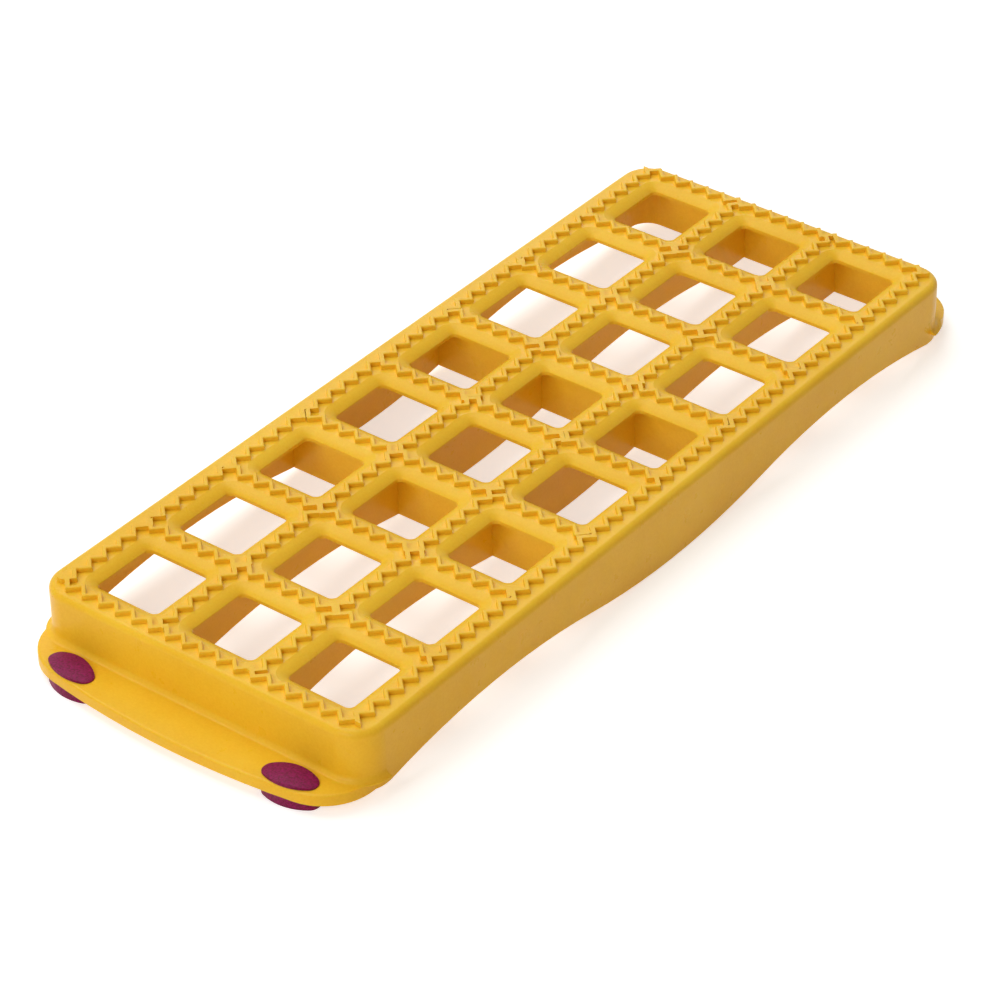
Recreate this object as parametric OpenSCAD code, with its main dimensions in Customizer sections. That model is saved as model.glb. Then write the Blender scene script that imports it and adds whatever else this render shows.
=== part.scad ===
// Ravioli mould: one moulded body with 24 square openings, standing on four soft feet.
// X runs across the width, Y along the length and Z up. The origin is on the surface
// that the feet stand on, under the middle of the mould.

/* [Grid of cells] */
// Pitch of the square cells, from ridge line to ridge line
cell = 36; // [30:0.5:44]
// Number of cells across the width
cells_across = 3; // [2:1:4]
// Number of cells along the length
cells_along = 8; // [6:2:8]

/* [Cutting ridges] */
// Height of the zigzag ridges above the land around the openings
ridge_h = 1.5; // [0.8:0.1:2]
// Thickness of a ridge, square to its legs
ridge_t = 1.4; // [0.8:0.1:1.6]
// Length of one tooth of the zigzag, before it is fitted to the grid
tooth_pitch = 6.35; // [5:0.05:8]

/* [Openings] */
// Width of each square opening at its rim
opening_w = 23.2; // [16:0.1:24]
// Corner radius of each opening
opening_r = 2; // [1.6:0.2:6]
// Width of the rolled lip that falls from the land to the rim
lip_w = 3.7; // [2.6:0.1:4]
// Drop of the rim below the land
lip_drop = 1.9; // [1.2:0.1:2.2]
// Radius of the roll of the lip
lip_r = 8; // [6:0.2:12]

/* [Body] */
// Height of the ridge tops above the surface that the feet stand on
body_h = 25.2; // [22:0.2:34]
// Side margin, from the outer ridge line to the outside of the skirt
side_margin = 7; // [5:0.1:10]
// End margin, from the last ridge line to the outside of the end wall
end_margin = 5; // [4:0.1:8]
// Radius of the four upright corners of the body
corner_r = 10; // [7:0.5:14]
// Radius of the rounded top edge
edge_r = 2.2; // [1:0.1:3.4]
// Thickness of the skirt and the end walls
wall_t = 3; // [2:0.1:4]
// Thickness of the top plate
plate_t = 3; // [2.6:0.1:3.6]

/* [Underside] */
// Thickness of the ribs under the ridge lines
rib_t = 3; // [2:0.1:4]
// Number of cells between each cross rib and the middle of the length
cross_rib_cells = 1; // [1:1:3]
// Height of the wavy lower edge of the skirt at the middle of the length
lobe_z = 0.5; // [0.3:0.1:2]
// Height of the crown of each of its two arches
arch_z = 8.4; // [6:0.2:11]
// Distance from the crown of each arch to the end of the grid
arch_to_end = 57; // [50:1:66]

/* [End flanges] */
// Reach of the flange beyond the last ridge line, at the middle of the width
flange_reach = 20.5; // [18.5:0.1:26]
// Inset of the flange's sides from the outside of the skirt
flange_inset = 0.8; // [0:0.1:2]
// Thickness of the flange
flange_t = 3.7; // [2.4:0.1:4.4]
// Corner radius of the flange
flange_corner_r = 17.5; // [12:0.5:20]
// Radius of the bowed front edge of the flange
flange_bow_r = 280; // [240:10:600]
// Radius of the fillet between the end wall and the flange
fillet_r = 2; // [1:0.1:2.2]

/* [Feet] */
// Length of the button on top of each foot
foot_l = 17.8; // [14:0.2:22]
// Width of the button on top of each foot
foot_w = 8.9; // [7:0.1:10]
// Radius of the two ends of the oval
foot_end_r = 3; // [2:0.1:3.2]
// Height of the pad under the flange, which lifts the body off the surface
pad_h = 3.1; // [2.6:0.1:5]
// Width that the pad under the flange adds all round the button's outline
pad_rim = 0.4; // [0:0.1:1]
// Height of the crowned button above the flange
button_h = 1.6; // [1:0.1:2.4]
// Radius of the button's crown
crown_r = 34; // [28:1:60]
// Width of the shoulder that holds the foot in its slot, all round
foot_shoulder = 1.5; // [1:0.1:2]
// Clearance all round the neck of the foot in its slot
neck_gap = 0.1; // [0.05:0.05:0.3]
// Distance from the side of the grid in to the middle of a foot
foot_in = 13; // [9:0.1:24]
// Distance from the last ridge line to the middle of a foot
foot_out = 12.6; // [11.8:0.1:13]
// Turn of each foot, which follows the bowed edge of the flange
foot_turn = 9; // [0:1:14]

/* [Hidden] */

$fn = 96;
// Overlap between solids of one piece, and overshoot of a cutter
eps = 0.5;

// The grid and the outside of the body
grid_w = cells_across * cell;
grid_l = cells_along * cell;
body_w = grid_w + 2 * side_margin;
body_l = grid_l + 2 * end_margin;
land_z = body_h - ridge_h;
plate_z = land_z - plate_t;
rim_z = land_z - lip_drop;

// The flange lies on the pads of the feet
flange_z = pad_h;
flange_top_z = flange_z + flange_t;
flange_front_y = grid_l / 2 + flange_reach;
flange_w = body_w - 2 * flange_inset;
flange_corner_x = flange_w / 2 - flange_corner_r;
bow_centre_y = flange_front_y - flange_bow_r;
flange_corner_y = bow_centre_y + sqrt(pow(flange_bow_r - flange_corner_r, 2) - pow(flange_corner_x, 2));
bow_end_x = flange_corner_x * flange_bow_r / (flange_bow_r - flange_corner_r);

// The wavy lower edge: arches and middle lobe have one radius, and touch halfway
arch_y = grid_l / 2 - arch_to_end;
wave_rise = arch_z - lobe_z;
wave_r = (pow(arch_y, 2) + pow(wave_rise, 2)) / (4 * wave_rise);
wave_y = arch_y / 2;
wave_z = (arch_z + lobe_z) / 2;
base_z = lobe_z - eps;

// Teeth along a ridge line: a whole odd number of teeth fits the grid in each direction
function odd_near(count) = 2 * floor(count / 2) + 1;
teeth_across = odd_near(grid_w / tooth_pitch);
teeth_along = odd_near(grid_l / tooth_pitch);

body_colour = [0.93, 0.74, 0.22];
foot_colour = [0.48, 0.08, 0.32];

// Positions of the ridge lines and of the cells, from the middle of the grid
function line_at(index, count) = (index - count / 2) * cell;
function cell_at(index, count) = (index + 0.5 - count / 2) * cell;

// Copies the children to the other end of the mould
module both_ends() {
    children();
    mirror([0, 1, 0]) children();
}

// Rectangle with round corners, about the origin
module round_rect(width, length, radius) {
    square([width - 2 * radius, length], center = true);
    square([width, length - 2 * radius], center = true);
    for (side = [-1, 1], end = [-1, 1])
        translate([side * (width / 2 - radius), end * (length / 2 - radius)])
            circle(radius);
}

// Oval of two end circles joined by two wide arcs that touch them
module oval(length, width, end_r) {
    reach = length / 2 - end_r;
    arc_r = (pow(reach, 2) + pow(width / 2, 2) - pow(end_r, 2)) / (width - 2 * end_r);
    touch_x = reach * arc_r / (arc_r - end_r);
    for (side = [-1, 1])
        translate([side * reach, 0]) circle(end_r);
    intersection() {
        translate([0, width / 2 - arc_r]) circle(arc_r, $fn = 240);
        translate([0, arc_r - width / 2]) circle(arc_r, $fn = 240);
        square([2 * touch_x, width], center = true);
    }
}

// Extrudes a profile drawn in the XZ plane along Y, centred
module along_y(length) {
    translate([0, length / 2, 0])
        rotate([90, 0, 0])
            linear_extrude(length)
                children();
}

// Half of the body's section, from its middle out to the rounded top edge
module edge_profile(half_width) {
    translate([0, base_z]) square([half_width, land_z - edge_r - base_z]);
    translate([0, base_z]) square([half_width - edge_r, land_z - base_z]);
    translate([half_width - edge_r, land_z - edge_r]) circle(edge_r);
}

// Both halves of the body's section
module full_profile(half_width) {
    edge_profile(half_width);
    mirror([1, 0]) edge_profile(half_width);
}

// The outside of the body: straight sides with a rounded top edge, and round corners
module outer_block() {
    along_y(body_l - 2 * corner_r) full_profile(body_w / 2);
    rotate([0, 0, 90]) along_y(body_w - 2 * corner_r) full_profile(body_l / 2);
    for (side = [-1, 1], end = [-1, 1])
        translate([side * (body_w / 2 - corner_r), end * (body_l / 2 - corner_r), 0])
            rotate_extrude() edge_profile(corner_r);
}

// The hollow under the top plate
module inner_hollow() {
    translate([0, 0, base_z - eps])
        linear_extrude(plate_z - base_z + eps)
            round_rect(body_w - 2 * wall_t, body_l - 2 * wall_t, corner_r - wall_t);
}

// Ribs under the inner ridge lines, and the two cross ribs
module ribs() {
    rib_h = plate_z + plate_t / 2 - base_z;
    for (index = [1 : cells_across - 1])
        translate([line_at(index, cells_across), 0, base_z + rib_h / 2])
            cube([rib_t, body_l - wall_t, rib_h], center = true);
    for (end = [-1, 1])
        translate([0, end * cross_rib_cells * cell, base_z + rib_h / 2])
            cube([body_w - wall_t, rib_t, rib_h], center = true);
}

// Side view of what is cut away under the wavy lower edge and under the flanges
module under_profile() {
    difference() {
        translate([-wave_y, -4 * eps]) square([2 * wave_y, wave_z + 6 * eps]);
        translate([0, lobe_z + wave_r]) circle(wave_r, $fn = 720);
    }
    for (end = [-1, 1]) {
        translate([end * arch_y, arch_z - wave_r]) circle(wave_r, $fn = 720);
        translate([end * (arch_y + body_l / 2), flange_z / 2 - 2 * eps])
            square([body_l, flange_z + 4 * eps], center = true);
    }
}

module lower_edge_cut() {
    reach = body_w + 4 * eps;
    translate([-reach / 2, 0, 0])
        rotate([90, 0, 90])
            linear_extrude(reach)
                under_profile();
}

// Outline of the flange at the far end, from inside the body to its bowed edge
module flange_outline() {
    inner_y = body_l / 2 - corner_r;
    translate([-flange_w / 2, inner_y])
        square([flange_w, flange_corner_y - inner_y]);
    for (side = [-1, 1])
        translate([side * flange_corner_x, flange_corner_y])
            circle(flange_corner_r);
    intersection() {
        translate([0, bow_centre_y]) circle(flange_bow_r, $fn = 720);
        translate([-bow_end_x, inner_y]) square([2 * bow_end_x, flange_front_y]);
    }
}

// Plan of the space inside the skirt, which the flange leaves open
module inside_plan() {
    round_rect(body_w - 2 * wall_t, body_l - 2 * wall_t, corner_r - wall_t);
}

module flange() {
    translate([0, 0, flange_z])
        linear_extrude(flange_t)
            difference() {
                flange_outline();
                inside_plan();
            }
}

// Section of a fillet that fills the corner between a wall and the flange
module fillet_profile(wall_x) {
    difference() {
        translate([wall_x - eps, -eps]) square(fillet_r + eps);
        translate([wall_x + fillet_r, fillet_r]) circle(fillet_r);
    }
}

// Fillet along the far end wall and round its two corners
module flange_fillet() {
    corner_x = body_w / 2 - corner_r;
    translate([0, 0, flange_top_z]) {
        rotate([0, 0, 90])
            along_y(2 * corner_x) fillet_profile(body_l / 2);
        for (side = [-1, 1])
            translate([side * corner_x, body_l / 2 - corner_r, 0])
                intersection() {
                    rotate_extrude() fillet_profile(corner_r);
                    translate([side * body_w / 4, body_l / 4, 0])
                        cube([body_w / 2, body_l / 2, 3 * fillet_r], center = true);
                }
    }
}

// Section of the cutter for an opening, which widens over the rolled lip
module lip_profile(half_width) {
    chord = norm([lip_w, lip_drop]);
    inset = sqrt(pow(lip_r, 2) - pow(chord / 2, 2));
    roll_x = half_width + lip_w / 2 + inset * lip_drop / chord;
    roll_z = (land_z + rim_z) / 2 - inset * lip_w / chord;
    difference() {
        translate([0, plate_z - eps])
            square([half_width + lip_w, plate_t + ridge_h + 2 * eps]);
        intersection() {
            translate([half_width, plate_z - 2 * eps])
                square([lip_w + eps, plate_t + ridge_h + 4 * eps]);
            translate([roll_x, roll_z]) circle(lip_r);
        }
    }
}

// Cutter for one opening with its rolled lip
module opening_cut() {
    straight = opening_w - 2 * opening_r;
    for (turn = [0, 90])
        rotate([0, 0, turn])
            along_y(straight) {
                lip_profile(opening_w / 2);
                mirror([1, 0]) lip_profile(opening_w / 2);
            }
    for (side = [-1, 1], end = [-1, 1])
        translate([side * straight / 2, end * straight / 2, 0])
            rotate_extrude() lip_profile(opening_r);
}

module all_openings() {
    for (column = [0 : cells_across - 1], row = [0 : cells_along - 1])
        translate([cell_at(column, cells_across), cell_at(row, cells_along), 0])
            opening_cut();
}

// Plan of one zigzag ridge along X: legs at 45 degrees, with sharp turns.
// The line bulges to +Y at its middle when sign is 1.
module zigzag(length, teeth, sign) {
    step = length / teeth / 2;
    side = ridge_t / sqrt(2);
    function point(k, shift) = [k * step, sign * (k % 2 == 0 ? 1 : -1) * step / 2 + shift];
    polygon(concat(
        [for (k = [-teeth : teeth]) point(k, side)],
        [for (k = [teeth : -1 : -teeth]) point(k, -side)]
    ));
}

// Which way a ridge line bulges at its middle. Every third line across turns the other
// way, and the two halves of the mould mirror each other.
function column_sign(index) = index % 2 == 0 ? -1 : 1;
function row_sign(index) =
    index > cells_along / 2 ? -row_sign(cells_along - index)
    : index % 3 == 2 ? 1 : -1;

// All ridge lines, on the land
module ridges() {
    translate([0, 0, land_z - eps])
        linear_extrude(ridge_h + eps) {
            for (index = [0 : cells_along])
                translate([0, line_at(index, cells_along)])
                    zigzag(grid_w, teeth_across, row_sign(index));
            for (index = [0 : cells_across])
                translate([line_at(index, cells_across), 0])
                    rotate(90)
                        zigzag(grid_l, teeth_along, column_sign(index));
        }
}

// Places its children at one foot: side is -1 for left, end is -1 for front
module at_foot(side, end) {
    translate([side * (grid_w / 2 - foot_in), end * (grid_l / 2 + foot_out), 0])
        rotate([0, 0, -side * end * foot_turn])
            children();
}

// Plan of a foot's neck, or of its slot when grown by the clearance
module neck_plan(grow) {
    inset = foot_shoulder - grow;
    oval(foot_l - 2 * inset, foot_w - 2 * inset, foot_end_r - inset);
}

module foot_slots() {
    for (side = [-1, 1], end = [-1, 1])
        at_foot(side, end)
            translate([0, 0, flange_z - eps])
                linear_extrude(flange_t + 2 * eps) neck_plan(neck_gap);
}

// The moulded body
module mould_body() {
    color(body_colour) {
        difference() {
            union() {
                difference() {
                    outer_block();
                    inner_hollow();
                }
                ribs();
            }
            lower_edge_cut();
            all_openings();
        }
        both_ends()
            difference() {
                union() {
                    flange();
                    flange_fillet();
                }
                foot_slots();
            }
        ridges();
    }
}

// A soft foot: a pad under the flange, a neck through its slot and a crowned button
module foot(side, end) {
    color(foot_colour)
        at_foot(side, end) {
            linear_extrude(pad_h)
                oval(foot_l + 2 * pad_rim, foot_w + 2 * pad_rim, foot_end_r + pad_rim);
            translate([0, 0, pad_h - eps])
                linear_extrude(flange_t + 2 * eps) neck_plan(0);
            intersection() {
                translate([0, 0, flange_top_z])
                    linear_extrude(button_h) oval(foot_l, foot_w, foot_end_r);
                translate([0, 0, flange_top_z + button_h - crown_r])
                    sphere(crown_r, $fn = 180);
            }
        }
}

module foot_front_left() { foot(-1, -1); }
module foot_front_right() { foot(1, -1); }
module foot_rear_left() { foot(-1, 1); }
module foot_rear_right() { foot(1, 1); }

mould_body();
foot_front_left();
foot_front_right();
foot_rear_left();
foot_rear_right();
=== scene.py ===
# Looks of the ravioli mould: soft edges, materials, floor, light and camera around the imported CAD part.
# Lengths are in metres and places in the CAD's frame.
import math

import bpy
from mathutils import Matrix, Vector

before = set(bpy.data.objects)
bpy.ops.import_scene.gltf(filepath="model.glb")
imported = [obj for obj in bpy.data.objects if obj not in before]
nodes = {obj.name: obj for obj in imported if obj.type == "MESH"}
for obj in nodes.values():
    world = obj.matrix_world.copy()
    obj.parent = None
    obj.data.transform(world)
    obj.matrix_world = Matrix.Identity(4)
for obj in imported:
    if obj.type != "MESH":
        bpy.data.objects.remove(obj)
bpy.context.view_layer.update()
scene = bpy.context.scene

# Camera: the photograph's view, through a long lens from the front right, about 35 degrees up
EYE = Vector((0.6126, -0.7892, 0.7041))
LOOK = Vector((-0.5033, 0.6413, -0.5792)).normalized()
RIGHT = Vector((0.7920, 0.6104, -0.0124))
LENS_PX = 3970                  # focal length, in pixels of the picture
PICTURE_PX = 1000
SENSOR_MM = 36
NEAREST_SEEN = 0.05
FARTHEST_SEEN = 20

# Rounded edges: an edge that turns by less than the angle stays as it is
HARD_ANGLE = math.radians(40)
BEVEL_STEPS = 3
SAME_POINT = 1e-6               # points closer than this become one before the edges are rounded
FOOT_BEVEL = 0.0006
BODY_BEVEL = 0.001              # the width of which the body's edges get a share

# The body's rounded edges: lowest and highest place of their middles, and their share of the width
RIDGE_TOPS = (0.02515, 0.02525, 0.42)
RIMS = (0.02150, 0.02220, 0.18)
FLANGE_TOPS = (0.00675, 0.00685, 0.8)

# Where the body's edges stay sharp
CELL = 0.036                    # pitch of the grid; its middle is the middle of a cell across the part
CROSSING = 0.0042               # half side of the square round each crossing of two ridges
FLANGE_FADE = (0.151, 0.157)    # distances along the part between which the flange's rounding sets in
SLOT_MIDDLE = (0.041, 0.1566)   # the slot of the foot at the right of the rear end; the others mirror it
SLOT_HALF = (0.0083, 0.0038)
SLOT_TURN = math.radians(9)

# Materials; each colour is in sRGB, with the value of the noise at which it is reached
PLASTIC_COLOURS = ((0.36, (239, 191, 41)), (0.64, (248, 204, 56)))
RUBBER_COLOURS = ((0.35, (104, 4, 54)), (0.7, (150, 14, 98)))
SPECKLE = 0.4                   # share of fine speckle in the plastic's mottle; the rest is soft clouds
IOR = 1.5                       # of both materials
NOISE_ROUGHNESS = 0.55
NOISE_RANGE = (0.3, 0.7)        # nearly all values of a noise lie between these

# The floor's paint, glow and glow's strength, and the world's colour and strength
FLOOR_REACH = 4.0
FLOOR_LIGHT = ((0.90, 0.78, 0.62), (1.0, 0.82, 0.56), 0.19)     # what it sends back to the part
FLOOR_SEEN = ((0.74, 0.76, 0.78), (0.98, 0.99, 1.0), 0.58)      # what is seen of it
WORLD_LIGHT = ((1.0, 0.80, 0.56), 0.25)
WORLD_SEEN = ((1.0, 1.0, 1.0), 1.0)

# Lamps, all turned to the origin: name, place, width and height, watts
LAMPS = (("key", (0.05, -1.7, 1.1), (1.4, 1.0), 13.5),
         ("top", (-0.65, 0.05, 1.5), (1.3, 1.3), 14.3),
         ("rim", (-1.0, 1.3, 1.15), (0.7, 0.7), 3.5))


def make_camera():
    data = bpy.data.cameras.new("camera")
    data.sensor_fit = "HORIZONTAL"
    data.sensor_width = SENSOR_MM
    data.lens = SENSOR_MM * LENS_PX / PICTURE_PX
    data.clip_start = NEAREST_SEEN
    data.clip_end = FARTHEST_SEEN
    camera = bpy.data.objects.new("camera", data)
    right = (RIGHT - LOOK * RIGHT.dot(LOOK)).normalized()
    up = right.cross(LOOK)
    turn = Matrix((right, up, -LOOK)).transposed().to_4x4()
    camera.matrix_world = Matrix.Translation(EYE) @ turn
    scene.collection.objects.link(camera)
    scene.camera = camera


# Materials
def new_material(name):
    material = bpy.data.materials.new(name)
    material.use_nodes = True
    tree = material.node_tree
    tree.nodes.clear()
    output = tree.nodes.new("ShaderNodeOutputMaterial")
    return material, tree, output.inputs["Surface"]


def noise(tree, waves, detail):
    """A noise in the part's own coordinates, with about so many waves a metre."""
    place = tree.nodes.new("ShaderNodeTexCoord").outputs["Object"]
    texture = tree.nodes.new("ShaderNodeTexNoise")
    texture.inputs["Scale"].default_value = waves
    texture.inputs["Detail"].default_value = detail
    texture.inputs["Roughness"].default_value = NOISE_ROUGHNESS
    tree.links.new(place, texture.inputs["Vector"])
    return texture.outputs["Fac"]


def mingle(tree, share, first, second):
    """A mix of two noises, with the given share of the second."""
    mix = tree.nodes.new("ShaderNodeMix")
    mix.inputs["Factor"].default_value = share
    tree.links.new(first, mix.inputs["A"])
    tree.links.new(second, mix.inputs["B"])
    return mix.outputs["Result"]


def linear(channel):
    """The strength of light of one sRGB channel from 0 to 255."""
    level = channel / 255
    return level / 12.92 if level <= 0.04045 else ((level + 0.055) / 1.055) ** 2.4


def tint(tree, level, stops):
    """Turns a noise into a colour between two given ones."""
    ramp = tree.nodes.new("ShaderNodeValToRGB")
    for element, (position, colour) in zip(ramp.color_ramp.elements, stops):
        element.position = position
        element.color = (*map(linear, colour), 1)
    tree.links.new(level, ramp.inputs[0])
    return ramp.outputs[0]


def spread(tree, level, low, high):
    """Spreads a noise over the range from low to high."""
    scale = tree.nodes.new("ShaderNodeMapRange")
    for socket, value in zip(("From Min", "From Max", "To Min", "To Max"), (*NOISE_RANGE, low, high)):
        scale.inputs[socket].default_value = value
    tree.links.new(level, scale.inputs["Value"])
    return scale.outputs[0]


def bump(tree, height, strength, distance, normal=None):
    """Relief from a noise, on top of another relief where one is given."""
    relief = tree.nodes.new("ShaderNodeBump")
    relief.inputs["Strength"].default_value = strength
    relief.inputs["Distance"].default_value = distance
    tree.links.new(height, relief.inputs["Height"])
    if normal is not None:
        tree.links.new(normal, relief.inputs["Normal"])
    return relief.outputs[0]


def plastic_or_rubber(tree, surface, colour, roughness, relief, specular):
    shader = tree.nodes.new("ShaderNodeBsdfPrincipled")
    tree.links.new(colour, shader.inputs["Base Color"])
    tree.links.new(roughness, shader.inputs["Roughness"])
    tree.links.new(relief, shader.inputs["Normal"])
    shader.inputs["IOR"].default_value = IOR
    shader.inputs["Specular IOR Level"].default_value = specular
    tree.links.new(shader.outputs[0], surface)
    return shader


def body_plastic():
    """Satin yellow plastic: mottled, slightly wavy, finely textured, and a little translucent."""
    material, tree, surface = new_material("body_plastic")
    clouds = noise(tree, waves=28, detail=3)
    swell = noise(tree, waves=60, detail=2)
    patches = noise(tree, waves=160, detail=4)
    speckle = noise(tree, waves=1400, detail=2)
    colour = tint(tree, mingle(tree, SPECKLE, clouds, speckle), PLASTIC_COLOURS)
    roughness = spread(tree, patches, low=0.26, high=0.38)
    wavy = bump(tree, swell, strength=0.2, distance=0.0006)
    relief = bump(tree, speckle, strength=0.22, distance=0.0001, normal=wavy)
    shader = plastic_or_rubber(tree, surface, colour, roughness, relief, specular=0.18)
    shader.inputs["Subsurface Weight"].default_value = 0.3
    shader.inputs["Subsurface Radius"].default_value = (1.0, 0.5, 0.2)
    shader.inputs["Subsurface Scale"].default_value = 0.001
    return material


def foot_rubber():
    """Purple rubber with a fine grain."""
    material, tree, surface = new_material("foot_rubber")
    patches = noise(tree, waves=500, detail=3)
    grain = noise(tree, waves=1600, detail=2)
    colour = tint(tree, grain, RUBBER_COLOURS)
    roughness = spread(tree, patches, low=0.40, high=0.55)
    relief = bump(tree, grain, strength=0.35, distance=0.0002)
    plastic_or_rubber(tree, surface, colour, roughness, relief, specular=0.2)
    return material


# Soft edges
class Sums:
    """Arithmetic in a node group, on numbers and on the outputs of nodes."""

    def __init__(self, group):
        self.group = group

    def do(self, kind, first, second=None):
        node = self.group.nodes.new("ShaderNodeMath")
        node.operation = kind
        for socket, value in zip(node.inputs, (first, second)):
            if isinstance(value, (int, float)):
                socket.default_value = value
            elif value is not None:
                self.group.links.new(value, socket)
        return node.outputs[0]

    def either(self, first, second):
        return self.do("MAXIMUM", first, second)

    def times(self, first, second):
        return self.do("MULTIPLY", first, second)

    def without(self, share, gap):
        """The share, and nothing where the gap is 1."""
        return self.times(share, self.do("SUBTRACT", 1.0, gap))

    def below(self, value, limit):
        return self.do("LESS_THAN", value, limit)

    def band(self, height, lowest, highest, share):
        """The share where the height is between two heights."""
        inside = self.times(self.do("GREATER_THAN", height, lowest), self.below(height, highest))
        return self.times(inside, share)


def crossing(sums, x, y):
    """1 near a crossing of two ridges: half cells across the part and whole cells along it."""
    half = CELL / 2
    across = sums.do("PINGPONG", sums.do("ADD", x, half), half)
    along = sums.do("PINGPONG", y, half)
    return sums.times(sums.below(across, CROSSING), sums.below(along, CROSSING))


def foot_slot(sums, x, y):
    """1 at the slot of a foot, a rectangle that is turned with the flange."""
    right = sums.do("SUBTRACT", x, SLOT_MIDDLE[0])
    out = sums.do("SUBTRACT", y, SLOT_MIDDLE[1])
    cosine = math.cos(SLOT_TURN)
    sine = math.sin(SLOT_TURN)
    along = sums.do("SUBTRACT", sums.times(right, cosine), sums.times(out, sine))
    across = sums.do("ADD", sums.times(right, sine), sums.times(out, cosine))
    return sums.times(sums.below(sums.do("ABSOLUTE", along), SLOT_HALF[0]),
                      sums.below(sums.do("ABSOLUTE", across), SLOT_HALF[1]))


def flange_fade(sums, y):
    """Rises from 0 to 1 between the two distances of FLANGE_FADE."""
    start, end = FLANGE_FADE
    rise = sums.times(sums.do("SUBTRACT", y, start), 1 / (end - start))
    return sums.do("MINIMUM", sums.do("MAXIMUM", rise, 0.0), 1.0)


def edge_share(sums, place):
    """The share of the width that an edge of the body gets, from where its middle lies."""
    x, y, z = (sums.do("ABSOLUTE", place.outputs[axis]) for axis in range(3))
    tops = sums.without(sums.band(z, *RIDGE_TOPS), crossing(sums, x, y))
    rims = sums.band(z, *RIMS)
    flange = sums.times(sums.band(z, *FLANGE_TOPS), flange_fade(sums, y))
    flange = sums.without(flange, foot_slot(sums, x, y))
    return sums.either(sums.either(tops, rims), flange)


def edge_widths():
    """A node group that writes how much of the bevel's width each hard edge gets."""
    group = bpy.data.node_groups.new("edge_widths", "GeometryNodeTree")
    for way in ("INPUT", "OUTPUT"):
        group.interface.new_socket("Geometry", in_out=way, socket_type="NodeSocketGeometry")
    new = group.nodes.new
    link = group.links.new
    start = new("NodeGroupInput")
    end = new("NodeGroupOutput")
    sums = Sums(group)
    place = new("ShaderNodeSeparateXYZ")
    link(new("GeometryNodeInputPosition").outputs[0], place.inputs[0])
    turn = new("GeometryNodeInputMeshEdgeAngle").outputs["Unsigned Angle"]
    hard = sums.do("GREATER_THAN", turn, HARD_ANGLE)
    store = new("GeometryNodeStoreNamedAttribute")
    store.data_type = "FLOAT"
    store.domain = "EDGE"
    store.inputs["Name"].default_value = "bevel_weight_edge"
    link(start.outputs[0], store.inputs["Geometry"])
    link(sums.times(hard, edge_share(sums, place)), store.inputs["Value"])
    link(store.outputs[0], end.inputs[0])
    return group


def soften(node, width, weights=None):
    """Rounds a node's hard edges, as a moulded part's are; the CAD mesh itself stays as packed."""
    weld = node.modifiers.new("weld", "WELD")
    weld.merge_threshold = SAME_POINT
    if weights:
        widths = node.modifiers.new("widths", "NODES")
        widths.node_group = weights
    edges = node.modifiers.new("edges", "BEVEL")
    edges.width = width
    edges.segments = BEVEL_STEPS
    edges.limit_method = "WEIGHT" if weights else "ANGLE"
    edges.angle_limit = HARD_ANGLE
    edges.use_clamp_overlap = not weights
    edges.harden_normals = True
    edges.miter_outer = "MITER_ARC"
    normals = node.modifiers.new("normals", "WEIGHTED_NORMAL")
    normals.keep_sharp = True


def dress(node, material):
    node.data.materials.clear()
    node.data.materials.append(material)


# Floor, background and light
def background_rays(tree):
    """1 for the rays that show the pale background: those of the camera, of gloss and through glass."""
    path = tree.nodes.new("ShaderNodeLightPath").outputs
    seen = path["Is Camera Ray"]
    for ray in ("Is Glossy Ray", "Is Transmission Ray"):
        either = tree.nodes.new("ShaderNodeMath")
        either.operation = "ADD"
        either.use_clamp = True
        tree.links.new(seen, either.inputs[0])
        tree.links.new(path[ray], either.inputs[1])
        seen = either.outputs[0]
    return seen


def light_and_seen(tree, surface, shader_of, looks):
    """Gives a surface one look for the light that it sends, and another for the rays that show it."""
    mix = tree.nodes.new("ShaderNodeMixShader")
    tree.links.new(background_rays(tree), mix.inputs[0])
    for slot, look in enumerate(looks, 1):
        tree.links.new(shader_of(tree, *look), mix.inputs[slot])
    tree.links.new(mix.outputs[0], surface)


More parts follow.
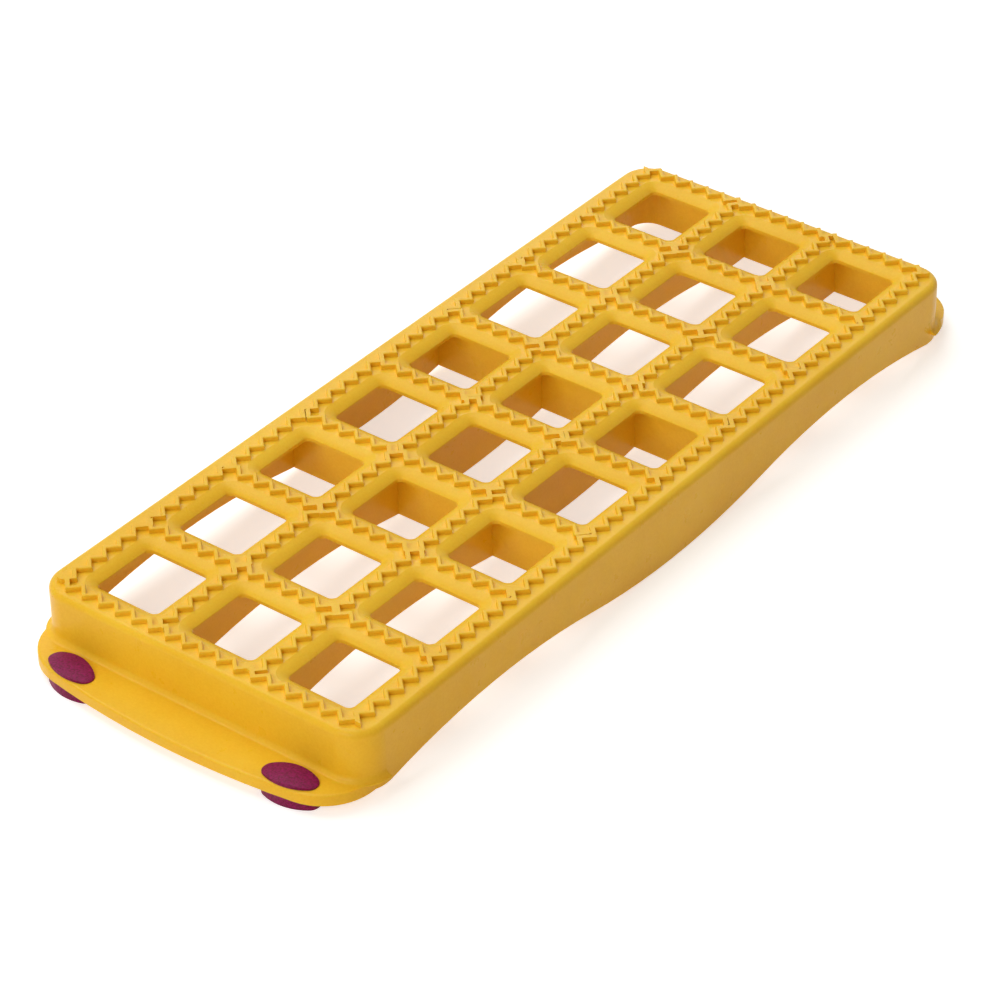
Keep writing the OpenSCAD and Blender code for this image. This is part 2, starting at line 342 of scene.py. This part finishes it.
def floor_look(tree, paint, glow, strength):
    matt = tree.nodes.new("ShaderNodeBsdfDiffuse")
    matt.inputs["Color"].default_value = (*paint, 1)
    light = tree.nodes.new("ShaderNodeEmission")
    light.inputs["Color"].default_value = (*glow, 1)
    light.inputs["Strength"].default_value = strength
    both = tree.nodes.new("ShaderNodeAddShader")
    tree.links.new(matt.outputs[0], both.inputs[0])
    tree.links.new(light.outputs[0], both.inputs[1])
    return both.outputs[0]


def make_floor():
    reach = FLOOR_REACH
    corners = [(-reach, -reach, 0), (reach, -reach, 0), (reach, reach, 0), (-reach, reach, 0)]
    mesh = bpy.data.meshes.new("floor")
    mesh.from_pydata(corners, [], [(0, 1, 2, 3)])
    floor = bpy.data.objects.new("floor", mesh)
    scene.collection.objects.link(floor)
    material, tree, surface = new_material("floor")
    light_and_seen(tree, surface, floor_look, (FLOOR_LIGHT, FLOOR_SEEN))
    mesh.materials.append(material)


def world_look(tree, colour, strength):
    background = tree.nodes.new("ShaderNodeBackground")
    background.inputs["Color"].default_value = (*colour, 1)
    background.inputs["Strength"].default_value = strength
    return background.outputs[0]


def make_world():
    world = bpy.data.worlds.new("studio")
    scene.world = world
    world.use_nodes = True
    tree = world.node_tree
    tree.nodes.clear()
    surface = tree.nodes.new("ShaderNodeOutputWorld").inputs["Surface"]
    light_and_seen(tree, surface, world_look, (WORLD_LIGHT, WORLD_SEEN))


def make_lamp(name, place, size, watts):
    data = bpy.data.lights.new(name, "AREA")
    data.shape = "RECTANGLE"
    data.size, data.size_y = size
    data.energy = watts
    lamp = bpy.data.objects.new(name, data)
    lamp.location = place
    lamp.rotation_euler = (-Vector(place)).to_track_quat("-Z", "Y").to_euler()
    scene.collection.objects.link(lamp)


make_camera()
make_world()
make_floor()
for lamp in LAMPS:
    make_lamp(*lamp)

yellow = body_plastic()
purple = foot_rubber()
for name, node in nodes.items():
    if name.startswith("foot"):
        dress(node, purple)
        soften(node, FOOT_BEVEL)
    else:
        dress(node, yellow)
        soften(node, BODY_BEVEL, edge_widths())

scene.view_settings.view_transform = "Standard"
